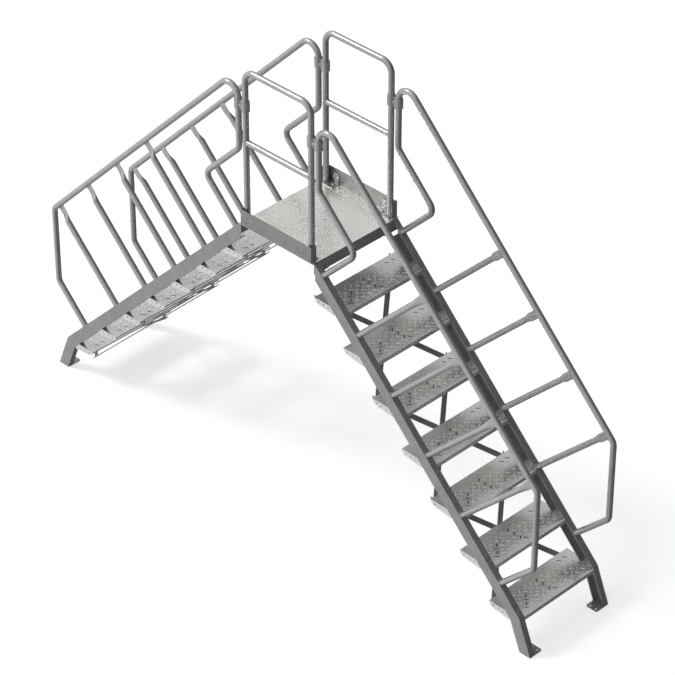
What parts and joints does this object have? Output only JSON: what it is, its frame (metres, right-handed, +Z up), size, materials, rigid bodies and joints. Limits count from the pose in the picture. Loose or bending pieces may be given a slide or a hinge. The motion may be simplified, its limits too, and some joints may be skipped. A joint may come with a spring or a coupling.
{
  "type": "crossover platform",
  "caption": "Galvanised steel crossover platform with steep stairs on both sides, a raised deck, tube guard rails, toe boards and handrails.",
  "frame": {"origin": "on the floor, under the middle of the deck", "axes": "+X along the walk from one stair to the other, +Y across it, +Z up"},
  "size_m": [4.1822, 0.717, 2.9974],
  "materials": {
    "galvanised_steel": "hot-dip galvanised, matt with a faint spangle"
  },
  "bodies": {
    "root": {"deck_pan": "galvanised_steel", "deck_stiffeners": "galvanised_steel", "toe_board_near": "galvanised_steel", "toe_board_far": "galvanised_steel", "guard_rail_near": "galvanised_steel", "guard_rail_far": "galvanised_steel", "mid_rail_near": "galvanised_steel", "mid_rail_far": "galvanised_steel", "stringer_right_near": "galvanised_steel", "stringer_right_far": "galvanised_steel", "stringer_left_near": "galvanised_steel", "stringer_left_far": "galvanised_steel", "handrail_right_near": "galvanised_steel", "handrail_right_far": "galvanised_steel", "handrail_left_near": "galvanised_steel", "handrail_left_far": "galvanised_steel", "balusters_right_near": "galvanised_steel", "balusters_right_far": "galvanised_steel", "balusters_left_near": "galvanised_steel", "balusters_left_far": "galvanised_steel", "clamp_right_near": "galvanised_steel", "clamp_right_far": "galvanised_steel", "clamp_left_near": "galvanised_steel", "clamp_left_far": "galvanised_steel", "end_plates_right": "galvanised_steel", "foot_plates_right": "galvanised_steel", "bracing_right": "galvanised_steel", "tread_right_1": "galvanised_steel", "tread_right_2": "galvanised_steel", "tread_right_3": "galvanised_steel", "tread_right_4": "galvanised_steel", "tread_right_5": "galvanised_steel", "tread_right_6": "galvanised_steel", "tread_right_7": "galvanised_steel", "end_plates_left": "galvanised_steel", "foot_plates_left": "galvanised_steel", "bracing_left": "galvanised_steel", "tread_left_1": "galvanised_steel", "tread_left_2": "galvanised_steel", "tread_left_3": "galvanised_steel", "tread_left_4": "galvanised_steel", "tread_left_5": "galvanised_steel", "tread_left_6": "galvanised_steel", "tread_left_7": "galvanised_steel"}
  },
  "joints": []
}
